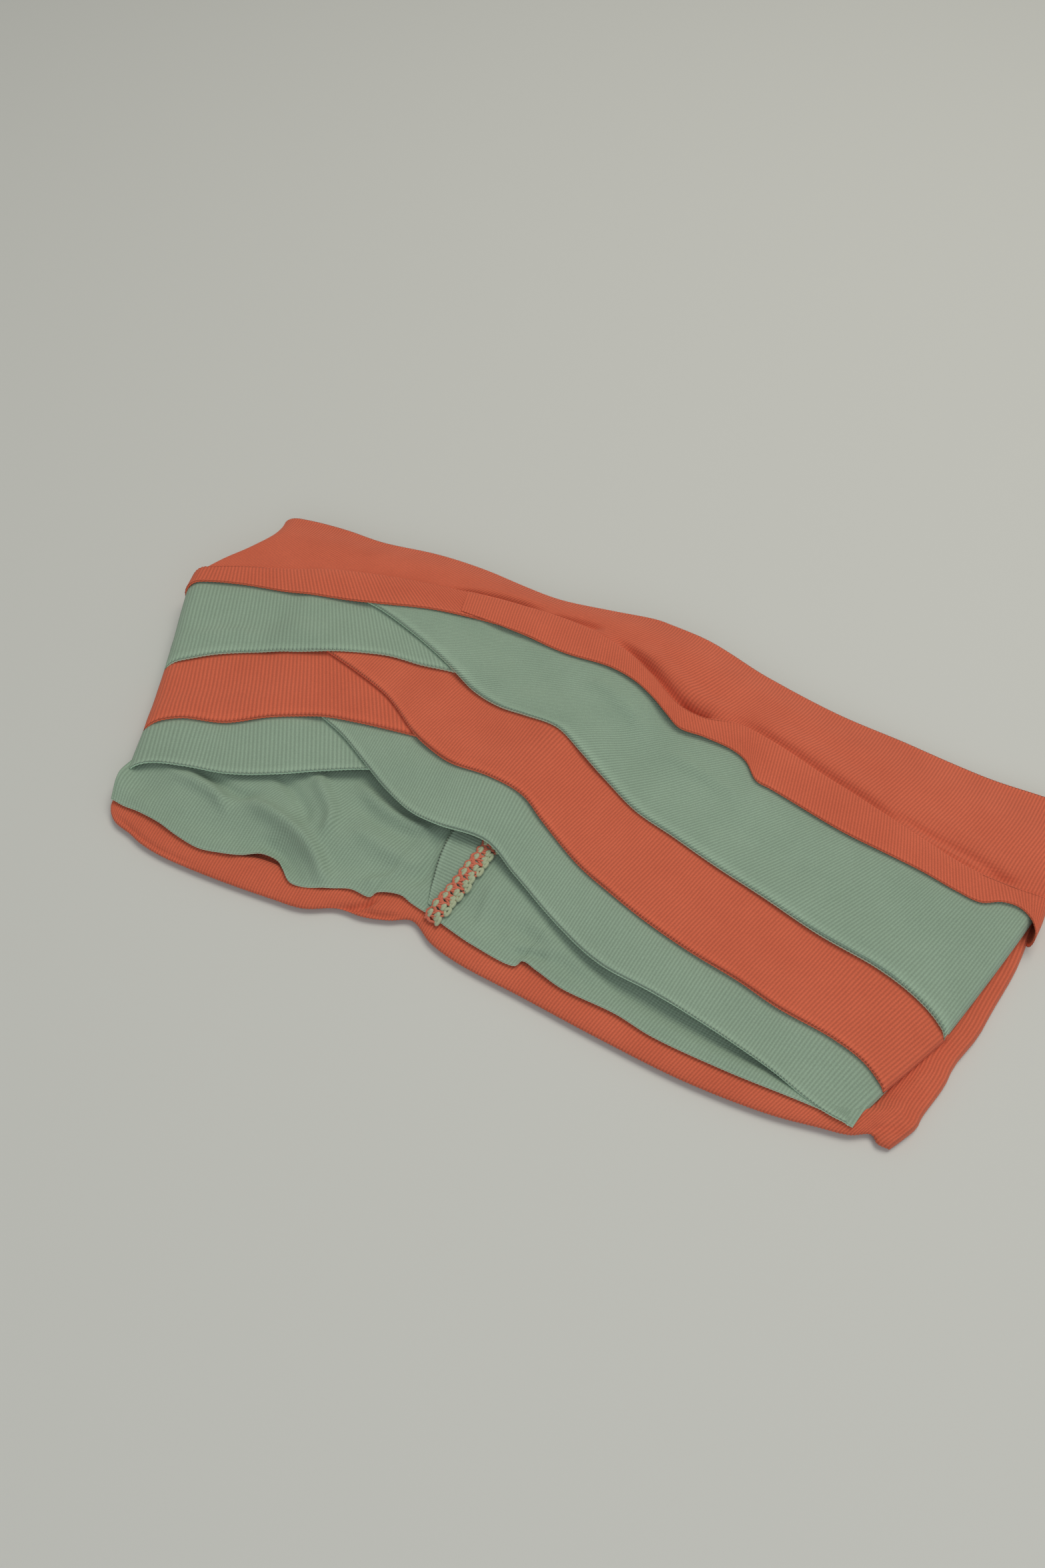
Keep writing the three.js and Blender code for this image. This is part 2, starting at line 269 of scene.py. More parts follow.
# The rows across a cloth: over its top to the near edge, round the fold there, and back beneath.
# With an upper fold it starts beneath, and goes round that fold first.
def clothRows(top, under, bends, underTo=1.0, upperFold=False):
    angle = math.pi * np.arange(bends + 1) / bends
    overTop = rowsOf(1 - np.arange(int(upperFold), top) / top, t=1.0)
    nearFold = rowsOf(0 * angle, 0.5 + 0.5 * np.cos(angle), np.sin(angle), np.sin(angle))
    count = under // 2 if upperFold else under
    last = 0.5 if upperFold else underTo
    parts = [overTop, nearFold, rowsOf(last * np.arange(1, count + 1) / count)]
    if upperFold:
        farFold = rowsOf(1 + 0 * angle, 0.5 - 0.5 * np.cos(angle), -np.sin(angle), np.sin(angle))
        parts = [rowsOf(0.5 + 0.5 * np.arange(count) / count), farFold] + parts
    v, t, out, bend = np.concatenate(parts, 1)
    # Painted highlight: the colour is lightened along a pressed fold, where it catches the light, and a
    # little on the cloth beside it.
    beside = (t > 0.5) & (v < 1.5 / top)
    shine = np.where(beside, np.maximum(bend, 0.3 - 0.2 * v * top), bend)
    return {"v": v, "t": t, "out": out, "bend": bend, "shine": shine}


laying = {
    "reachSamples": 80,
    "leastStations": 8,
    "leastTurns": 12,
    "inner": 0.85,  # how much of the thickness the inside of a fold falls short by
    "pointed": 0.03,  # the thickness that is left where a cloth tapers to nothing
}


# At a fold the cloth turns under on a half ellipse, and comes back below itself.
def turnedUnder(edge, outward, fold, thickness, t, station):
    start, top = edge[:, :2], edge[:, 2]
    bottom = fold["bottom"] + thickness * (1 - t)
    middle, radius = (top + bottom) / 2, (top - bottom) / 2
    bulge = fold["bulge"] - thickness * (1 - t) * laying["inner"]
    halfWay = math.pi * math.hypot(radius.mean(), bulge.mean()) / math.sqrt(2)
    turns = max(laying["leastTurns"], int(round(halfWay / station)))
    angle = (math.pi * np.arange(1, turns + 1) / turns)[:, None]
    turn = np.concatenate([
        start + outward * (bulge[None, :] * np.sin(angle))[..., None],
        (middle + radius * np.cos(angle))[..., None],
    ], -1)
    steps = np.arange(1, int(fold["return"] / station))[:, None]
    back = np.concatenate([
        start - outward * (steps * station)[..., None],
        (bottom + 0 * steps)[..., None],
    ], -1)
    return np.concatenate([turn, back])


# The run lies on the support, as thick as the cloth, with a fold at the ends that have one.
def layCloth(plan, rows, support, thickness, left=None, right=None, grow=None, rib=None):
    station = (rib or knit["rib"]) / knit["stationsPerRib"]
    v, t, out = rows["v"][None, :], rows["t"][None, :], rows["out"][None, :]
    coarse = plan(np.linspace(0, 1, laying["reachSamples"])[:, None], v)
    reach = np.linalg.norm(np.diff(coarse, axis=0), axis=-1).sum(0)[None, :]
    first = (left["bulge"] + left["inset"]) / reach if left else 0 * reach
    last = 1 - (right["bulge"] + right["inset"]) / reach if right else 1 + 0 * reach
    count = max(laying["leastStations"], int(round(reach.mean() * (last - first).mean() / station)))
    s = first + (last - first) * np.linspace(0, 1, count)[:, None]
    flat = plan(s, v + 0 * s)
    downhill = unit(plan(s, 0 * s) - plan(s, 0 * s + 1))
    beneath = heightAt(support, flat) + layering["gap"]
    depth = thickness * (t + 0 * s)
    if grow is not None:
        depth = depth * (laying["pointed"] + (1 - laying["pointed"]) * smoothstep(s, 0, grow))
    edge = out * thickness / 2
    flat = flat + downhill * (edge - np.sign(out) * thickness / 2 * (out != 0))[..., None]
    run = np.concatenate([flat, (beneath + depth)[..., None]], -1)
    grids = [run]
    for fold, side, end in ((left, 0, 0.0), (right, -1, 1.0)):
        if not fold:
            continue
        tip = plan(np.full(v.shape, end), v)[0] + (run[side, :, :2] - plan(s[side], v[0]))
        under = turnedUnder(run[side], unit(tip - run[side, :, :2]), fold, thickness, t[0], station)
        grids = [under[::-1]] + grids if side == 0 else grids + [under]
    return np.concatenate(grids)


def clothPiece(name, grid, rows, finish, ribs=1.0):
    shaped = ribbed(grid, rows, knit["ribHeight"] * ribs, knit["edgeTeeth"] * ribs)
    columns, across = grid.shape[:2]
    depth = np.concatenate([[0], np.cumsum(np.linalg.norm(np.diff(grid, axis=1), axis=-1).mean(0))])
    ribCount = np.arange(columns)[:, None] / knit["stationsPerRib"]
    uv = np.stack(np.broadcast_arrays(knit["rib"] * ribCount, depth[None, :]), -1)
    name = f"{name}_cloth"
    piece = addPiece(name, shaped.reshape(-1, 3), quads(columns, across), uv.reshape(-1, 2))
    # The painted highlight along the folds, per point, by which the material lightens the colour.
    paintedShine = np.broadcast_to(rows["shine"][None, :], (columns, across)).ravel().astype(np.float32)
    piece.data.attributes.new("fold", "FLOAT", "POINT").data.foreach_set("value", paintedShine)
    piece.data.materials.append(finish["material"])
    return piece


def linearColour(text):
    channels = [int(text[k:k + 2], 16) / 255 for k in (1, 3, 5)]
    return [c / 12.92 if c <= 0.04045 else ((c + 0.055) / 1.055) ** 2.4 for c in channels] + [1.0]


def addNode(tree, kind, settings=None, links=None):
    node = tree.nodes.new(kind)
    for key, value in (settings or {}).items():
        if isinstance(key, int) or key in node.inputs:
            node.inputs[key].default_value = value
        else:
            setattr(node, key, value)
    for key, socket in (links or {}).items():
        tree.links.new(socket, node.inputs[key])
    return node


waveLength = 0.31416  # the period of a wave texture whose scale is 1


def knitMaterial(name, look):
    material = bpy.data.materials.new(name)
    material.use_nodes = True
    tree = material.node_tree
    tree.nodes.clear()
    threads = addNode(tree, "ShaderNodeUVMap", {"uv_map": "threads"})
    # The valleys of the ribs hold less light.
    rib = addNode(tree, "ShaderNodeTexWave", {
        "bands_direction": "X", "Scale": waveLength / knit["rib"], "Distortion": 0.0,
    }, {"Vector": threads.outputs["UV"]})
    course = addNode(tree, "ShaderNodeTexWave", {
        "bands_direction": "Y", "Scale": waveLength / knit["courses"], "Distortion": 1.2, "Detail Scale": 1.4,
    }, {"Vector": threads.outputs["UV"]})
    place = addNode(tree, "ShaderNodeTexCoord")
    cloudy = addNode(tree, "ShaderNodeTexNoise", {
        "Scale": look["cloudScale"], "Detail": 4.0, "Roughness": 0.55,
    }, {"Vector": place.outputs["Object"]})
    fuzz = addNode(tree, "ShaderNodeTexNoise", {
        "Scale": look["fuzzScale"], "Detail": 3.0, "Roughness": 0.7,
    }, {"Vector": place.outputs["Object"]})
    body = addNode(tree, "ShaderNodeMix", {
        "data_type": "RGBA", 6: linearColour(look["shade"]), 7: linearColour(look["base"]),
    }, {0: cloudy.outputs["Fac"]})
    valley = addNode(tree, "ShaderNodeMapRange", {"To Min": look["valley"], "To Max": 1.0},
                     {"Value": rib.outputs["Fac"]})
    dots = addNode(tree, "ShaderNodeMapRange", {
        "From Min": 0.3, "From Max": 0.7, "To Min": 0.88, "To Max": 1.08,
    }, {"Value": fuzz.outputs["Fac"]})
    # Painted highlight: the fold attribute lightens the colour by up to edgeLight along the folded edges.
    fold = addNode(tree, "ShaderNodeAttribute", {"attribute_name": "fold"})
    paintedFoldHighlight = addNode(tree, "ShaderNodeMapRange", {"To Min": 1.0, "To Max": look["edgeLight"]},
                     {"Value": fold.outputs["Fac"]})
    ribAndFold = addNode(tree, "ShaderNodeMath", {"operation": "MULTIPLY"},
                         {0: valley.outputs["Result"], 1: paintedFoldHighlight.outputs["Result"]})
    depth = addNode(tree, "ShaderNodeMath", {"operation": "MULTIPLY"},
                    {0: ribAndFold.outputs["Value"], 1: dots.outputs["Result"]})
    colour = addNode(tree, "ShaderNodeVectorMath", {"operation": "SCALE"},
                     {0: body.outputs[2], "Scale": depth.outputs["Value"]})
    stitches = addNode(tree, "ShaderNodeMath", {"operation": "ADD"},
                       {0: course.outputs["Fac"], 1: fuzz.outputs["Fac"]})
    bump = addNode(tree, "ShaderNodeBump", {"Strength": 0.5, "Distance": look["relief"]},
                   {"Height": stitches.outputs["Value"]})
    cloth = addNode(tree, "ShaderNodeBsdfPrincipled", {
        "Roughness": look["roughness"], "IOR": 1.5, "Specular IOR Level": 0.25,
        "Sheen Weight": look["sheen"], "Sheen Roughness": 0.6, "Sheen Tint": linearColour(look["sheenTint"]),
    }, {"Base Color": colour.outputs["Vector"], "Normal": bump.outputs["Normal"]})
    addNode(tree, "ShaderNodeOutputMaterial", None, {"Surface": cloth.outputs["BSDF"]})
    return material


# edgeLight is how far the painted highlight lightens the colour at a fold.
jersey = {
    "coral": {"base": "#e27253", "shade": "#ce6245", "sheenTint": "#ffc0a8", "roughness": 0.92, "sheen": 0.2,
              "valley": 0.72, "edgeLight": 1.6, "cloudScale": 60.0, "fuzzScale": 2600.0, "relief": 0.00006},
    "mint": {"base": "#9bb49e", "shade": "#8ca48f", "sheenTint": "#e6f2e4", "roughness": 0.92, "sheen": 0.2,
             "valley": 0.76, "edgeLight": 2.1, "cloudScale": 60.0, "fuzzScale": 2600.0, "relief": 0.00006},
}
# Cotton-elastane rib jersey, piece dyed: matt, with a soft nap that lightens it at grazing angles.
# The ribs are a little wider apart than real ones, and the stitches too, so that they show.
coralCloth = {"material": knitMaterial("coralRibJersey", jersey["coral"]), "slot": "coral_jersey"}
mintCloth = {"material": knitMaterial("mintRibJersey", jersey["mint"]), "slot": "mint_jersey"}
liningCloth = {"material": knitMaterial("mintLiningJersey", jersey["mint"]), "slot": "mint_lining"}
print("materials ready")

# The front half: the pleat that the top strips meet at, and the far rim.
pleatLine = curve([
    (-30, 90), (-6, 99), (24, 109), (47, 114), (72, 117), (98, 118),
    (112, 114.5), (121, 111), (131, 105), (141, 98.6), (150, 97.6), (160, 100), (171, 98.5), (188, 94),
    (204, 90), (221, 85), (235, 81), (248, 79.6), (258.6, 80),
])
farRim = curve([
    (-18.8, 129.6), (-12, 131), (6, 132.6), (22, 132), (42, 134.3), (60, 133.6), (76, 131.4), (91, 130.4),
    (108, 132.4), (122, 134.2), (128, 133.6), (149, 131), (163, 127), (186, 122.6), (209, 121.6),
    (234, 119.2), (251, 119), (268, 118),
])
front = {
    "height": 7.5, "rise": 0.066, "riseFrom": 8.0,
    "pressedDrop": 3.9, "pressedFrom": 150.0, "pressedTo": 225.0,
    "rimSag": 6.2, "sagFromTo": (0.3, 1.05),  # shares of the way from the pleat to the far rim
    "bend": [(136, 112), (128, 95), (117, 78), (109, 62), (104, 46), (101, 30)],  # over the back seam
    "bendHeight": 2.6, "bendLeft": 26.0, "bendRight": 10.0, "samples": 60,
    "waves": [(61, 20, 0.25, 0.4), (37, 9, 0.14, 2.0), (24, -14, 0.08, 4.1)],  # length, slant, height, start
}


def frontSurface():
    depth = np.clip(mapY - front["riseFrom"], 0, 110)
    heights = front["height"] + front["rise"] * depth + 0 * mapX
    heights = heights - front["pressedDrop"] * smoothstep(mapX, front["pressedFrom"], front["pressedTo"])
    bend = curve(front["bend"])(np.linspace(0, 1, front["samples"]))[::-1]
    beyond = mapX - np.interp(mapY[0], bend[:, 1], bend[:, 0])[None, :]
    spread = np.where(beyond < 0, front["bendLeft"], front["bendRight"])
    heights = heights + front["bendHeight"] * np.exp(-(beyond / spread) ** 2)
    for length, slant, height, start in front["waves"]:
        heights = heights + height * np.sin(2 * math.pi * (mapX + slant / 10 * mapY) / length + start)
    s = np.linspace(0, 1, 400)
    pleat = pleatLine(s)
    rim = farRim(s)
    nearY = np.interp(mapX[:, 0], pleat[:, 0], pleat[:, 1])[:, None]
    farY = np.interp(mapX[:, 0], rim[:, 0], rim[:, 1])[:, None]
    return heights - front["rimSag"] * smoothstep((mapY - nearY) / (farY - nearY), *front["sagFromTo"])


ground = frontSurface()
leftEdges = [curve(points) for points in (
    [(-29, 83), (-22, 86.6), (-10, 90), (6, 93), (22, 96), (38, 99), (60, 105), (92, 109)],
    [(-15.6, 50.4), (-9, 55.6), (-2, 60.4), (15, 68.6), (24, 71.8), (33, 75), (43, 78.6), (52, 81.2),
     (63, 82), (76, 84.2), (90, 86.4)],
    [(-7.6, 26.8), (-3.4, 31), (3, 35), (16, 39), (29, 46.6), (42, 52), (55, 54.4), (73, 56.6), (88, 59)],
    [(-4.6, 13.4), (-1, 16), (4, 18.6), (13, 20.8), (26, 23.4), (40, 29.4), (52, 35.6), (66, 42), (80, 46)],
)]
rightEdges = [curve(points) for points in (
    [(64, 107), (85, 106.4), (102, 104.6), (117, 103.8), (126, 101.2), (133, 97.6), (140, 93.4), (145, 91),
     (153, 91.4), (162, 90.8), (167, 88.6), (172, 83.4), (177, 82.4), (199, 78), (212, 76.4), (224, 74.6),
     (234, 72.4), (241, 71.6), (246.5, 74.2), (251, 74.4), (255, 72), (257.4, 67.4)],
    [(14, 104), (31, 99.4), (40, 97.4), (55, 91.8), (74, 83), (82, 79.4), (92, 76.8), (100, 76.4),
     (111, 75.8), (121, 70.6), (131, 65.6), (144, 58.8), (156, 55.4), (169, 51.6), (188, 47.4), (203, 43.8),
     (220, 40.8), (230, 37.4), (237, 33.4), (241.8, 29)],
    [(14, 80), (31, 75.4), (45, 71.4), (58, 66.6), (73, 56.6), (80, 53.8), (88, 51.6), (100, 51.6),
     (112, 49.6), (120, 45), (136, 35.6), (146, 31.6), (158, 27.4), (172, 24), (187, 21.6), (199, 18.8),
     (215, 16.8), (224, 14), (231.4, 8.4)],
    [(24, 60), (42, 53), (52, 49), (66, 41), (74, 36.8), (84, 32.6), (93, 31.6), (109, 32), (120, 26.4),
     (138, 16.6), (152, 11), (168, 9), (187, 6), (203, 2.6), (213, -0.8), (220, -2.4), (226.4, -2.8)],
)]
rightUpper = curve([(64, 106), (85, 106), (105, 103), (120, 98), (140, 89), (160, 86), (179, 80), (216, 73),
                    (232, 71), (246, 73.4), (258, 76.4)])
stripSettings = {
    "thickness": 0.9, "overlap": 8.0, "topRows": 20, "underRows": 12, "foldRows": 8,
    "leftFold": {"bulge": 6.4, "return": 11.0},
    "rightFold": {"bulge": 2.4, "return": 11.0},
    "leftUpper": 0.8,  # the left strips' ribs lean with the cloth, so their upper edges stop short
    "leftPleat": (0, 0.36), "rightPleat": (0.32, 1),  # the shares of the pleat that the top strips reach
    "endOverlap": 1.6,
    "taper": 0.14,  # the right top strip starts from nothing
    "nest": 0.4,  # each fold stands this far outside the one below it
    "bottom": 1.0, "bottomStep": 0.2,
}
rowCounts = [stripSettings[key] for key in ("topRows", "underRows", "foldRows")]
stripRows = clothRows(*rowCounts)
doubleRows = clothRows(*rowCounts, upperFold=True)

crown = {
    "thickness": 0.9, "rows": 60, "hem": 0.2,
    "tuck": 3.6,  # how far it goes below the pleat
    "inset": 0.3, "bottom": 1.0,
    "folds": [
        ([(54, 115.5), (66, 117.5), (78, 119), (90, 119.5)], -1.6, 1.3),
        ([(58, 119), (72, 121), (88, 122)], 0.5, 2.2),
        ([(90, 118), (100, 119.5), (110, 119)], -1.5, 1.3),
        ([(112, 117), (121, 113.4), (131, 107.6), (141, 101.4), (150, 99.8), (156, 100.6)], -3.0, 1.4),
        ([(120, 118), (132, 112), (146, 105), (162, 104)], 1.1, 2.6),
        ([(104, 117), (118, 114.6), (130, 110)], 0.4, 2.0),
        ([(156, 102.6), (171, 100.4), (188, 96), (204, 91.8), (221, 86.8)], -1.7, 1.4),
        ([(160, 107), (176, 104), (194, 99), (212, 93)], 0.5, 2.6),
        ([(141, 101.4), (147, 99.4), (153, 99.8)], -1.4, 0.9),
        ([(210, 92), (222, 88.5), (236, 85.5), (250, 81)], -1.2, 1.2),
        ([(214, 97), (228, 93), (244, 87), (256, 84)], 0.5, 2.6),
        ([(222, 85.6), (236, 82.6), (252, 81.6)], -1.2, 1.2),
        ([(152, 118), (170, 111), (190, 106), (212, 100)], -0.4, 4.0),
    ],
}
dips = np.minimum(ridges(crown["folds"]), 0)  # the layers below the panel's folds sink with it

liningPlan = between(
    curve([(8, 22), (24, 28), (42, 36), (60, 45), (76, 50), (90, 40), (109, 37), (120, 31), (137, 22),
           (156, 16), (190, 9), (220, 5)]),
    curve([(-10, 124), (45, 129), (84, 127), (128, 129), (150, 126), (185, 118), (250, 110)]),
)
frontLiningSettings = {
    "thickness": 0.7,
    "laid": 0.68,  # what it counts as below the strips, pressed as it is
    "below": 1.0, "dip": 1.3,
}
liningRows = clothRows(top=40, under=6, bends=6, underTo=0.08)
liningSupport = ground - frontLiningSettings["below"] + frontLiningSettings["dip"] * dips
liningGrid = layCloth(liningPlan, liningRows, liningSupport, frontLiningSettings["thickness"])
frontLining = clothPiece("lining_front", liningGrid, liningRows, liningCloth)
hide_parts("lining_front")
layOn(ground, liningPlan, liningSupport, frontLiningSettings["laid"])

# The edges of the layers below, which show through the strips.
layerMarks = ridges([
    ([(112, 98), (121, 95), (129, 90.4), (136, 85)], 1.1, 1.6),
    ([(143, 83), (152, 80.6), (162, 78), (171, 75)], 1.1, 1.6),
    ([(-17, 62), (-8, 68), (0, 72), (8, 72.4)], 0.7, 1.5),
    ([(96, 66), (112, 62), (128, 54)], 0.4, 3.0),
    ([(150, 44), (176, 36), (200, 31)], -0.4, 4.0),
])


def strip(side, number):
    edges = leftEdges if side == "left" else rightEdges
    near = edges[number - 1]
    if number == 1:
        far = part(pleatLine, *stripSettings[f"{side}Pleat"])
    elif side == "left":
        above = moved(edges[number - 2], stripSettings["overlap"], atStart=stripSettings["endOverlap"])
        far = part(above, 0, stripSettings["leftUpper"])
    else:
        above = rightUpper if number == 2 else edges[number - 2]
        far = moved(above, stripSettings["overlap"], atStart=0.0, atEnd=stripSettings["endOverlap"])
    plan = between(near, far)
    rows = doubleRows if number == 1 else stripRows
    resting = draped(ground) + (layerMarks if number > 1 else 0)
    turn = {**stripSettings[f"{side}Fold"], "inset": stripSettings["nest"] * (number - 1)}
    turn["bottom"] = stripSettings["bottom"] + stripSettings["bottomStep"] * (number - 1)
    grow = stripSettings["taper"] if (side, number) == ("right", 1) else None
    rib = knit["stretchedRib"] if side == "left" else knit["rib"]
    ribs = knit["stretchedRise"] if side == "left" else 1.0
    grid = layCloth(plan, rows, resting, stripSettings["thickness"], grow=grow, rib=rib, **{side: turn})
    name = f"{side}_strip_{number}"
    piece = clothPiece(name, grid, rows, mintCloth if number % 2 == 0 else coralCloth, ribs)
    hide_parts(name, f"{name}_{side}_fold")
    layOn(ground, plan, resting, stripSettings["thickness"])
    return piece


for side, number in (("left", 4), ("right", 4), ("left", 3), ("right", 3), ("left", 2), ("right", 2)):
    strip(side, number)

crownPlan = between(
    farRim, moved(pleatLine, -crown["tuck"], atStart=0.5, atEnd=0.5),
    curve([(-18.8, 129.6), (-17.8, 125), (-17.6, 117), (-20.8, 107), (-26, 97.6), (-30, 89.5)]),
    curve([(268, 118), (265, 103), (261, 90), (258.8, 79.6)]),
)
crownRows = clothRows(top=crown["rows"], under=10, bends=8, underTo=crown["hem"])
crownSupport = draped(ground, reach=2.5, soften=3.0) + ridges(crown["folds"])
crownTurn = {"inset": crown["inset"], "bottom": crown["bottom"]}
crownGrid = layCloth(
    crownPlan, crownRows, crownSupport, crown["thickness"],
    left={**stripSettings["leftFold"], **crownTurn}, right={**stripSettings["rightFold"], **crownTurn},
)
crownPanel = clothPiece("crown_panel", crownGrid, crownRows, coralCloth)
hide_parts("crown_panel", "crown_panel_left_fold", "crown_panel_right_fold")
layOn(ground, crownPlan, crownSupport, crown["thickness"])
for side in ("left", "right"):
    strip(side, 1)
print("front half laid")

# The back half lies on the table with its near rim rolled, and the lining lies on it, its edge on the roll.
nearRim = curve([
    (-3, 3), (-1, 0.5), (2, -1.5), (8, -3), (13, -4.6), (21, -5.8), (38, -6), (58, -5), (68, -4), (77, 0),
    (85, 0.6), (92, 2.6), (98, 5.2), (106, 1), (115, -1.4), (136, -3.6), (158, -6), (184, -8), (206, -7.4),
    (218, -5.6), (226, -4.2), (231, -1.8), (233, -3.4), (236, -3.4),
])
leftRim = curve([(-3, 3), (-8, 30), (-16, 55), (-26, 85), (-23, 104), (-15, 128)])
rightRim = curve([(236, -3.4), (238.5, 0.5), (241, 5), (241.5, 8), (245, 19), (246, 25), (250, 36), (252, 45),
                  (255.5, 60), (257.5, 75), (261, 90), (266, 113)])
backPlan = between(nearRim, moved(farRim, -2), leftRim, rightRim)  # its far rim is just hidden
backPanel = {
    "rows": 58, "evenRows": 0.09, "crowding": 2.3,  # most of the rows lie near the rims
    "ribbedLength": 260,  # mm, along which its ribs are counted
    "flatSize": (0.142, 0.288),  # metres, across by along
    "hemReach": 9.0, "hemEnds": 12.0, "hemTop": 3.3,
    "flatTop": 1.0, "bottom": 0.05, "middle": 1.0, "puff": 0.3, "least": 0.2,
    "round": 1.5, "roll": 4.4,  # the radii of its rims, the near one being rolled
    "lift": 0.9, "liftReach": 9.0, "liftRound": 14.0,
    "lipTop": 2.8, "lipFrom": 5.0, "lipReach": 16.0,  # the right end stands up in a lip
    "ribRise": 1.3,
    "folds": [
        ([(72, -2.6), (79, 0.6), (82.5, 2.4), (85, 4.6), (87, 7.4)], -2.4, 0.8),
        ([(85, 3.4), (90, 4.4), (94, 6.4)], 0.6, 1.2),
        ([(62, 0.5), (70, 2.2), (78, 4)], 0.5, 1.6),
        ([(-1.4, 2.4), (1.4, 0), (5, -1), (9.6, -2.4), (15, -3.8), (22, -4.8), (34, -5)], -1.2, 0.55),
        ([(78, 0.9), (84, 1.6), (90, 2.6), (96, 5.2)], -1.5, 0.6),
        ([(40, 2), (50, 2), (58, 0)], 0.6, 2.4),
        ([(228, 1), (234, 7), (242, 9)], 1.0, 2.0),
        ([(229, -2), (235, 1), (238.6, 1)], -0.9, 1.2),
        ([(236, 14), (241, 18), (246, 20)], 0.8, 2.2),
        ([(236, 11), (240, 13.4), (244, 14)], -0.8, 1.4),
        ([(243, 28), (247, 31), (251, 31)], 0.5, 2.4),
    ],
}


def edgeRound(distance, radius):
    inside = 1 - np.clip(distance / radius, 0, 1)
    return np.sqrt(np.maximum(1 - inside ** 2, 0))


def rimDistances(plan):  # mm to the near, far, left and right rims
    rims = plan[:, :1], plan[:, -1:], plan[:1], plan[-1:]
    return [np.linalg.norm(plan - rim, axis=-1) for rim in rims]


def hemAndLip(toNear, toFar, toRight):
    hem = 1 - smoothstep(np.minimum(toNear, toFar), backPanel["hemReach"], backPanel["hemEnds"])
    lip = 1 - smoothstep(toRight, backPanel["lipFrom"], backPanel["lipReach"])
    return hem, lip


# One closed body: the cloth on the table, and its hems turned over along the rims.
def backSheet():
    u = np.linspace(0, 1, backPanel["rows"])
    crowding = backPanel["crowding"]
    v = u ** crowding / (u ** crowding + (1 - u) ** crowding)
    v = backPanel["evenRows"] * u + (1 - backPanel["evenRows"]) * v
    columns = int(round(backPanel["ribbedLength"] / knit["rib"] * knit["stationsPerRib"]))
    plan = backPlan(np.linspace(0, 1, columns)[:, None], v[None, :])
    toNear, toFar, toLeft, toRight = rimDistances(plan)
    rounding = np.ones(toNear.shape)
    for distance, radius in ((toNear, "roll"), (toFar, "round"), (toLeft, "round"), (toRight, "round")):
        rounding = rounding * edgeRound(distance, backPanel[radius])
    hem, lip = hemAndLip(toNear, toFar, toRight)
    full = backPanel["flatTop"] + (backPanel["hemTop"] - backPanel["flatTop"]) * hem
    full = np.maximum(full, backPanel["flatTop"] + (backPanel["lipTop"] - backPanel["flatTop"]) * lip)
    lifted = (1 - smoothstep(toNear, 0, backPanel["liftReach"])) * edgeRound(toRight, backPanel["liftRound"])
    middle = backPanel["middle"] + backPanel["lift"] * lifted
    top = middle + (full - middle) * rounding + backPanel["puff"] * rounding
    folds = heightAt(ridges(backPanel["folds"]), plan)
    top = np.maximum(top + folds * rounding, middle * rounding + backPanel["least"])
    under = middle - (middle - backPanel["bottom"] - backPanel["lift"] * lifted) * rounding
    upper = np.concatenate([plan, top[..., None]], -1)
    lower = np.concatenate([plan, under[..., None]], -1)
    return np.concatenate([upper, lower[:, ::-1][:, 1:-1]], 1)


def closedCloth(name, loop, finish):
    along = np.gradient(loop, axis=0)
    across = (np.roll(loop, -1, 1) - np.roll(loop, 1, 1)) / 2
    normal = unit(np.cross(along, across))
    phase = 2 * math.pi * np.arange(loop.shape[0])[:, None] / knit["stationsPerRib"]
    ribs = np.cos(phase) * knit["ribHeight"] * backPanel["ribRise"] + 0 * loop[..., 0]
    shaped = loop - normal * ribs[..., None]
    columns, around = loop.shape[:2]
    depth = np.cumsum(np.linalg.norm(across, axis=-1).mean(0))
    uv = np.stack(np.broadcast_arrays(knit["rib"] / knit["stationsPerRib"] * np.arange(columns)[:, None],
                                      depth[None, :]), -1)
    faces = quads(columns, around, closed=True)
    same = np.arange(columns * around)  # at both ends the top and the underside share their points
    rows = backPanel["rows"]
    for i in (0, columns - 1):
        for j in range(rows, around):
            same[i * around + j] = i * around + (around - j)
    faces = same[faces]
    used, faces = np.unique(faces, return_inverse=True)
    faces = faces.reshape(-1, 4)
    piece = addPiece(f"{name}_cloth", shaped.reshape(-1, 3)[used], faces, uv.reshape(-1, 2)[used])
    piece.data.materials.append(finish["material"])
    return piece


outerPanel = closedCloth("back_outer_panel", backSheet(), coralCloth)
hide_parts("back_outer_panel")


def backHeights():  # the outer panel's top, for the lining to lie on
    floorLevel, aboveFlat, lipShare = 0.6, 0.3, 0.8
    heights = np.full((mapGrid["columns"], mapGrid["rows"]), floorLevel)
    plan = backPlan(np.linspace(0, 1, 1200)[:, None], np.linspace(0, 1, 500)[None, :])
    toNear, toFar, _, toRight = rimDistances(plan)
    hem, lip = hemAndLip(toNear, toFar, toRight)
    rise = (backPanel["hemTop"] - backPanel["flatTop"]) * np.maximum(hem, lip * lipShare)
    raiseTo(heights, plan, backPanel["flatTop"] + aboveFlat + rise)
    return heights


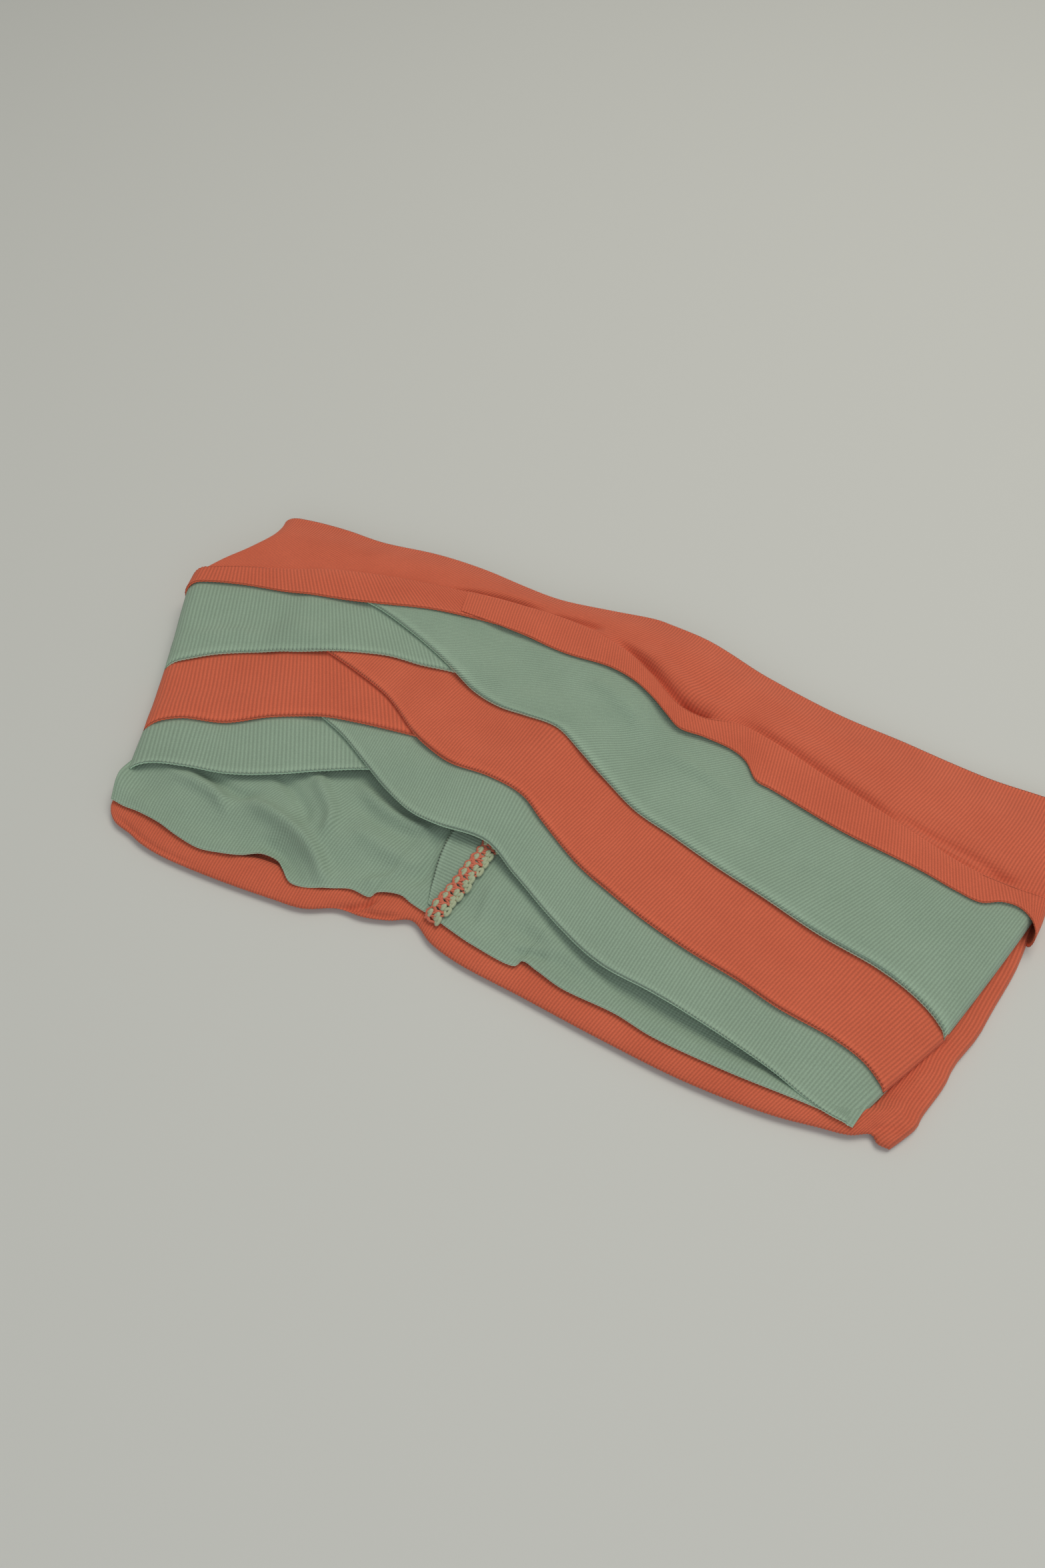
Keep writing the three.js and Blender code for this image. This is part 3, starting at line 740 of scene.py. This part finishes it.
backGround = backHeights()
lining = {
    "thickness": 0.9,
    "curlHeight": 5.0, "curlReach": 11.0, "curlSteep": 1.8,  # at the left end it curls up
    "curlGrows": (1, 15), "curlFades": (26, 40),
    "rise": 5.0, "riseFromTo": (3.0, 26.0), "riseFades": (52, 80),
    "pressed": 0.85, "pressedFromTo": (130, 205),  # it is flat at the right end
    "deepest": -2.0, "dipsFromTo": (3.0, 12.0),
    "below": 2.1, "freeHeight": 4.0, "freeFromTo": (-1.0, 7.0),  # the strips almost rest on it
    "mouth": [(-30, 8), (-4.6, 13.4), (4, 18.6), (26, 23.4), (40, 29.4), (66, 42), (84, 32.6), (109, 32),
              (138, 16.6), (168, 9), (203, 2.6), (226, -2.8)],  # the strips' near edges
    "folds": [
        ([(34, 19), (48, 17), (58, 14), (66, 9), (73, 2)], 3.6, 2.3),
        ([(44, 10), (54, 8), (62, 3), (66, -1)], -1.7, 2.4),
        ([(6, 21), (16, 18.5), (26, 17), (34, 13)], 2.7, 1.6),
        ([(14, 24), (24, 21.5), (33, 20), (40, 23)], -2.0, 1.5),
        ([(45, 40), (54, 32), (62, 24), (63, 15)], 2.6, 2.0),
        ([(38, 32), (48, 27), (55, 21), (56, 17)], -1.8, 2.0),
        ([(62, 38), (74, 33), (84, 31), (94, 31)], 2.0, 1.7),
        ([(64, 32), (76, 28), (92, 26)], -1.0, 1.8),
        ([(68, 24), (80, 21), (95, 19)], 1.4, 2.4),
        ([(2, 6), (12, 9), (26, 9)], 0.8, 3.4),
        ([(80, 9), (86, 13), (90, 19)], 1.0, 1.6),
        ([(94, 13), (95, 22), (93, 32)], -0.9, 1.6),
        ([(122, 11), (131, 9), (142, 11)], 1.1, 2.0),
        ([(128, 5), (133, 7.5), (139, 8)], -1.0, 1.2),
        ([(126, 18), (140, 12), (160, 6)], 1.1, 2.2),
        ([(117, 8), (116, 16), (115, 24)], 0.7, 1.8),
        ([(150, 7), (180, 2.4), (214, -0.6)], 0.5, 1.8),
    ],
}


def liningSurface():
    lying = draped(backGround, reach=0.5, soften=1.5)
    rim = leftRim(np.linspace(0, 1, 200))
    fromLeft = mapX - np.interp(mapY[0], rim[:, 1], rim[:, 0])[None, :]
    rising = np.clip(1 - fromLeft / lining["curlReach"], 0, 1) ** lining["curlSteep"]
    nearLine = nearRim(np.linspace(0, 1, 400))
    inward = mapY - np.interp(mapX[:, 0], nearLine[:, 0], nearLine[:, 1])[:, None]
    reach = smoothstep(inward, *lining["riseFromTo"]) * (1 - rising)
    pressed = 1 - lining["pressed"] * smoothstep(mapX, *lining["pressedFromTo"])
    raised = lying + lining["rise"] * reach * pressed * (1 - smoothstep(mapY, *lining["riseFades"]))
    folds = ridges(lining["folds"])
    dipping = np.maximum(folds, lining["deepest"]) * smoothstep(inward, *lining["dipsFromTo"])
    raised = raised + np.where(folds < 0, dipping, folds)
    mouth = np.array(lining["mouth"])
    beyond = np.interp(mapX[:, 0], mouth[:, 0], mouth[:, 1])[:, None] - mapY
    free = lining["freeHeight"] * smoothstep(beyond, *lining["freeFromTo"])
    roof = blurred(np.maximum(frontSurface() + free - lining["below"], lying), 1.0)
    curl = lining["curlHeight"] * rising * smoothstep(mapY, *lining["curlGrows"])
    return np.minimum(raised, roof) + curl * (1 - smoothstep(mapY, *lining["curlFades"]))


backSupport = liningSurface()
liningNear = {
    "left": curve([(-2.6, 4.2), (2, 3.6), (7, 3.6), (15, 2.8), (23, 1), (31, 0), (37, 1), (44, 3), (49, 6),
                   (54, 6), (57, 4), (61, 1), (65, 1), (71, 3), (78, 6), (84.4, 6), (85.6, 8),
                   (92, 10), (96, 9), (103, 7.6)]),
    "right": curve([(103.2, 7.6), (109, 6), (118, 4), (131, 3), (132.2, 5), (137, 4), (145, 2), (161, 1),
                    (172, -1), (193, -2), (219, -2), (226, -3)]),
}
liningFar = {
    "left": curve([(-4, 126), (42, 130), (82, 127), (112, 129.5)]),
    "right": curve([(112.4, 129.5), (149, 127), (178, 120), (209, 116), (250, 111)]),
}
liningLeftEnd = curve([(-2.8, 4.0), (-4.2, 9), (-4.6, 14), (-4, 19), (0, 27), (6, 35), (2, 56), (-10, 85),
                       (-8, 104), (-4, 126)])
liningRightEnd = curve([(226, -3), (229, 8), (234, 26), (240, 46), (243, 72), (248, 96), (250, 111)])
seamLine = curve([(103, 7.6), (106, 20), (108, 36), (110, 70), (112, 129.5)])
liningCrowding = 1.35  # its rows lie closer together near the mouth
backRows = clothRows(top=84, under=5, bends=6, underTo=0.06)
backRows["v"] = np.where(backRows["t"] >= 1, backRows["v"] ** liningCrowding, backRows["v"])
for side, ends in (("left", (liningLeftEnd, seamLine)), ("right", (seamLine, liningRightEnd))):
    plan = between(liningNear[side], liningFar[side], *ends)
    name = f"lining_back_{side}"
    grid = layCloth(plan, backRows, backSupport, lining["thickness"])
    clothPiece(name, grid, backRows, liningCloth)
    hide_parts(name)
    layOn(backGround, plan, backSupport, lining["thickness"])
print("lining laid")

# The seam allowance is pressed flat, to the left of the overlock seam.
flap = {
    "left": [(100.5, 10.5), (98.6, 17), (97, 26), (97, 38), (98, 52)],
    "right": [(105.5, 8.5), (108.5, 20), (111, 36), (112, 52)],
    "thickness": 1.1, "taper": 0.3,
}
flapPlan = between(curve(flap["left"]), curve(flap["right"]))
flapRows = clothRows(top=12, under=4, bends=6, underTo=0.6)
flapSupport = draped(backGround, reach=0.5, soften=1.0)
flapGrid = layCloth(flapPlan, flapRows, flapSupport, flap["thickness"], grow=flap["taper"])
allowance = clothPiece("back_seam_allowance", flapGrid, flapRows, liningCloth)
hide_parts("back_seam_allowance")
layOn(backGround, flapPlan, flapSupport, flap["thickness"])


def threadPiece(name, strands, radius, finish):
    sides = 7
    allPoints, allFaces, first = [], [], 0
    for strand in strands:
        along = unit(np.gradient(strand, axis=0))
        side = unit(np.cross(along, np.array([0.0, 0.0, 1.0]) + 0 * along))
        up = np.cross(side, along)
        angle = 2 * math.pi * np.arange(sides) / sides
        ring = side[:, None] * np.cos(angle)[None, :, None] + up[:, None] * np.sin(angle)[None, :, None]
        allPoints.append((strand[:, None] + ring * radius).reshape(-1, 3))
        allFaces.append(quads(len(strand), sides, closed=True) + first)
        first += len(strand) * sides
    piece = addPiece(f"{name}_stitches", np.concatenate(allPoints), np.concatenate(allFaces))
    piece.data.materials.append(finish["material"])
    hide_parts(name)


def threadMaterial(name, look):
    material = bpy.data.materials.new(name)
    material.use_nodes = True
    tree = material.node_tree
    tree.nodes.clear()
    place = addNode(tree, "ShaderNodeTexCoord")
    fibres = addNode(tree, "ShaderNodeTexNoise", {"Scale": 3000.0, "Detail": 4.0},
                     {"Vector": place.outputs["Object"]})
    colour = addNode(tree, "ShaderNodeMix", {
        "data_type": "RGBA", 6: linearColour(look["shade"]), 7: linearColour(look["base"]),
    }, {0: fibres.outputs["Fac"]})
    bump = addNode(tree, "ShaderNodeBump", {"Strength": 0.6, "Distance": 0.00008},
                   {"Height": fibres.outputs["Fac"]})
    thread = addNode(tree, "ShaderNodeBsdfPrincipled", {
        "Roughness": 0.7, "IOR": 1.5, "Specular IOR Level": 0.4, "Sheen Weight": 0.2, "Sheen Roughness": 0.5,
    }, {"Base Color": colour.outputs[2], "Normal": bump.outputs["Normal"]})
    addNode(tree, "ShaderNodeOutputMaterial", None, {"Surface": thread.outputs["BSDF"]})
    return material


# Spun polyester overlock thread: bulked, so it lies softly and shines a little more than the cloth.
threadLook = {
    "coral": {"base": "#d87a5e", "shade": "#b85a42"},
    "mint": {"base": "#b9c3a2", "shade": "#98a483"},
}
coralPolyester = threadMaterial("coralPolyesterThread", threadLook["coral"])
coralThread = {"material": coralPolyester, "slot": "coral_thread"}
mintPolyester = threadMaterial("mintPolyesterThread", threadLook["mint"])
mintThread = {"material": mintPolyester, "slot": "mint_thread"}
overlock = {
    "width": 5.6, "stitch": 2.7,
    "loopScale": 2.4,  # a loop's length is measured in stitches divided by this
    "coral": 0.38, "mint": 0.54,  # the radii of the looper's thread and the needle's
    "shown": 0.36,  # the share of the seam that is sewn here, before the strips cover it
    "seamLength": 120.0, "pointsPerStitch": 24, "pointsPerLoop": 22,
    "needleLoops": [(2.0, 1.0, 0.0), (0.8, 0.7, 0.5), (-1.6, 0.62, 0.2)],  # across, size and advance
}
seamRun = curve([(103.7, 5.8), (107.2, 20), (109.8, 36), (111, 60), (112, 90), (113, 127)])
threadGround = draped(backGround, reach=0.5, soften=0.6)


# Points of a thread: s along the seam, so far across it and so far above the cloth.
def overSeam(s, across, lift):
    nudge = 0.01
    s, across, lift = np.broadcast_arrays(np.asarray(s, float), across, lift)
    ahead = unit(seamRun(np.clip(s + nudge, 0, 1)) - seamRun(np.clip(s - nudge, 0, 1)))
    plan = seamRun(s) + np.stack([ahead[..., 1], -ahead[..., 0]], -1) * across[..., None]
    return np.concatenate([plan, (heightAt(threadGround, plan) + lift)[..., None]], -1)


stitches = int(overlock["seamLength"] * overlock["shown"] / overlock["stitch"])


# The looper's thread goes to and fro over the edge, and runs along both of its sides.
def coralStrands():
    half = overlock["width"] / 2
    t = np.linspace(0, stitches, stitches * overlock["pointsPerStitch"])
    turn = 2 * math.pi * t
    s = overlock["shown"] * t / stitches
    zigzag = np.arcsin(np.sin(turn)) / (math.pi / 2)
    return [
        overSeam(s, -0.5 + zigzag * half * 0.8, 0.3 + 0.12 * np.cos(turn)),
        overSeam(s, -half + 0.5 + 0.35 * np.sin(turn + 0.7), 0.42),
        overSeam(s, -0.5 - zigzag * half * 0.7 + 0.2 * np.sin(1.7 * t), 0.46),
        overSeam(s, -1.0 + 0.8 * np.sin(turn + 2.2), 0.5),
        overSeam(s, half - 0.9 + 0.3 * np.sin(turn), 0.2),
    ]


# The needle's thread lies in small loops, no two quite alike.
def mintLoops():
    loops = []
    turn = np.linspace(0, 2 * math.pi, overlock["pointsPerLoop"])
    scale = overlock["stitch"] / overlock["loopScale"] / overlock["seamLength"]
    for k in range(stitches):
        middle = overlock["shown"] * (k + 0.5) / stitches
        for place, size, early in overlock["needleLoops"]:
            sway = 0.28 * math.sin(2.4 * k + 5 * size)
            size = size * (1 + 0.14 * math.sin(3.7 * k + 2 * place))
            along = 0.7 * size * np.cos(turn) + 0.25 * np.sin(2 * turn) + sway + early
            across = place + sway + 0.55 * size * np.sin(turn)
            loops.append(overSeam(middle + along * scale, across, 0.5 + 0.3 * np.sin(turn + 0.8 + sway)))
    return loops


threadPiece("back_seam_coral_thread", coralStrands(), overlock["coral"], coralThread)
threadPiece("back_seam_mint_thread", mintLoops(), overlock["mint"], mintThread)

sideSeam = {
    "left": [(13, 24), (11, 34), (2, 58), (-10, 84)],
    "right": [(218, 3), (226, 26), (232, 48), (238, 72)],
    "stitches": 26, "pointsPerStitch": 12, "swing": 0.9, "height": 1.6, "wave": 0.2, "radius": 0.3,
}
for side in ("left", "right"):
    line = curve(sideSeam[side])
    t = np.linspace(0, sideSeam["stitches"], sideSeam["stitches"] * sideSeam["pointsPerStitch"])
    points = line(t / sideSeam["stitches"])
    ahead = unit(np.gradient(points, axis=0))
    sideways = np.stack([ahead[:, 1], -ahead[:, 0]], -1)
    points = points + sideways * np.sin(2 * math.pi * t)[:, None] * sideSeam["swing"]
    height = sideSeam["height"] + sideSeam["wave"] * np.cos(2 * math.pi * t)
    strand = np.concatenate([points, height[:, None]], -1)
    threadPiece(f"{side}_side_seam", [strand], sideSeam["radius"], mintThread)
print("seams sewn")


# A pale painted board: even and matt, so that only the soft shadows show on it.
floorLook = {"colour": "#cacdc8", "size": 4.0, "roughness": 0.7}
floorMaterial = bpy.data.materials.new("paintedBoard")
floorMaterial.use_nodes = True
floorShader = floorMaterial.node_tree.nodes["Principled BSDF"]
floorShader.inputs["Base Color"].default_value = linearColour(floorLook["colour"])
floorShader.inputs["Roughness"].default_value = floorLook["roughness"]
bpy.ops.mesh.primitive_plane_add(size=floorLook["size"], location=(0, 0, cadBox[0][2]))
floor = bpy.context.object
floor.name = "floor"
floor.data.materials.append(floorMaterial)

lamps = [
    {"name": "keyLight", "place": (0.2, 0.55, 1.35), "size": 0.8, "power": 10.3, "colour": "#fff8ee"},
    {"name": "fillLight", "place": (0.55, -0.95, 1.0), "size": 1.2, "power": 6.1, "colour": "#f6f7ff"},
]
for lamp in lamps:
    data = bpy.data.lights.new(lamp["name"], "AREA")
    data.size = lamp["size"]
    data.energy = lamp["power"]
    data.color = linearColour(lamp["colour"])[:3]
    light = bpy.data.objects.new(lamp["name"], data)
    light.location = lamp["place"]
    toward = -light.location
    light.rotation_euler = toward.to_track_quat("-Z", "Y").to_euler()
    bpy.context.scene.collection.objects.link(light)
room = {"colour": "#f4f4f2", "strength": 0.31}
world = bpy.data.worlds.new("room")
world.use_nodes = True
world.node_tree.nodes["Background"].inputs["Color"].default_value = linearColour(room["colour"])
world.node_tree.nodes["Background"].inputs["Strength"].default_value = room["strength"]
bpy.context.scene.world = world
bpy.context.scene.view_settings.view_transform = "Standard"

camera = {
    "place": (0.0770, -0.1998, 0.2893), "down": 53.0, "turn": 24.44,  # metres and degrees
    "lens": 27.05, "sensor": 36.0, "clipStart": 0.01,
}
cameraData = bpy.data.cameras.new("camera")
cameraData.lens = camera["lens"]
cameraData.sensor_width = camera["sensor"]
cameraData.clip_start = camera["clipStart"]
cameraObject = bpy.data.objects.new("camera", cameraData)
cameraObject.location = camera["place"]
cameraObject.rotation_euler = (math.radians(90 - camera["down"]), 0, math.radians(camera["turn"]))
bpy.context.scene.collection.objects.link(cameraObject)
bpy.context.scene.camera = cameraObject
print("stage set")
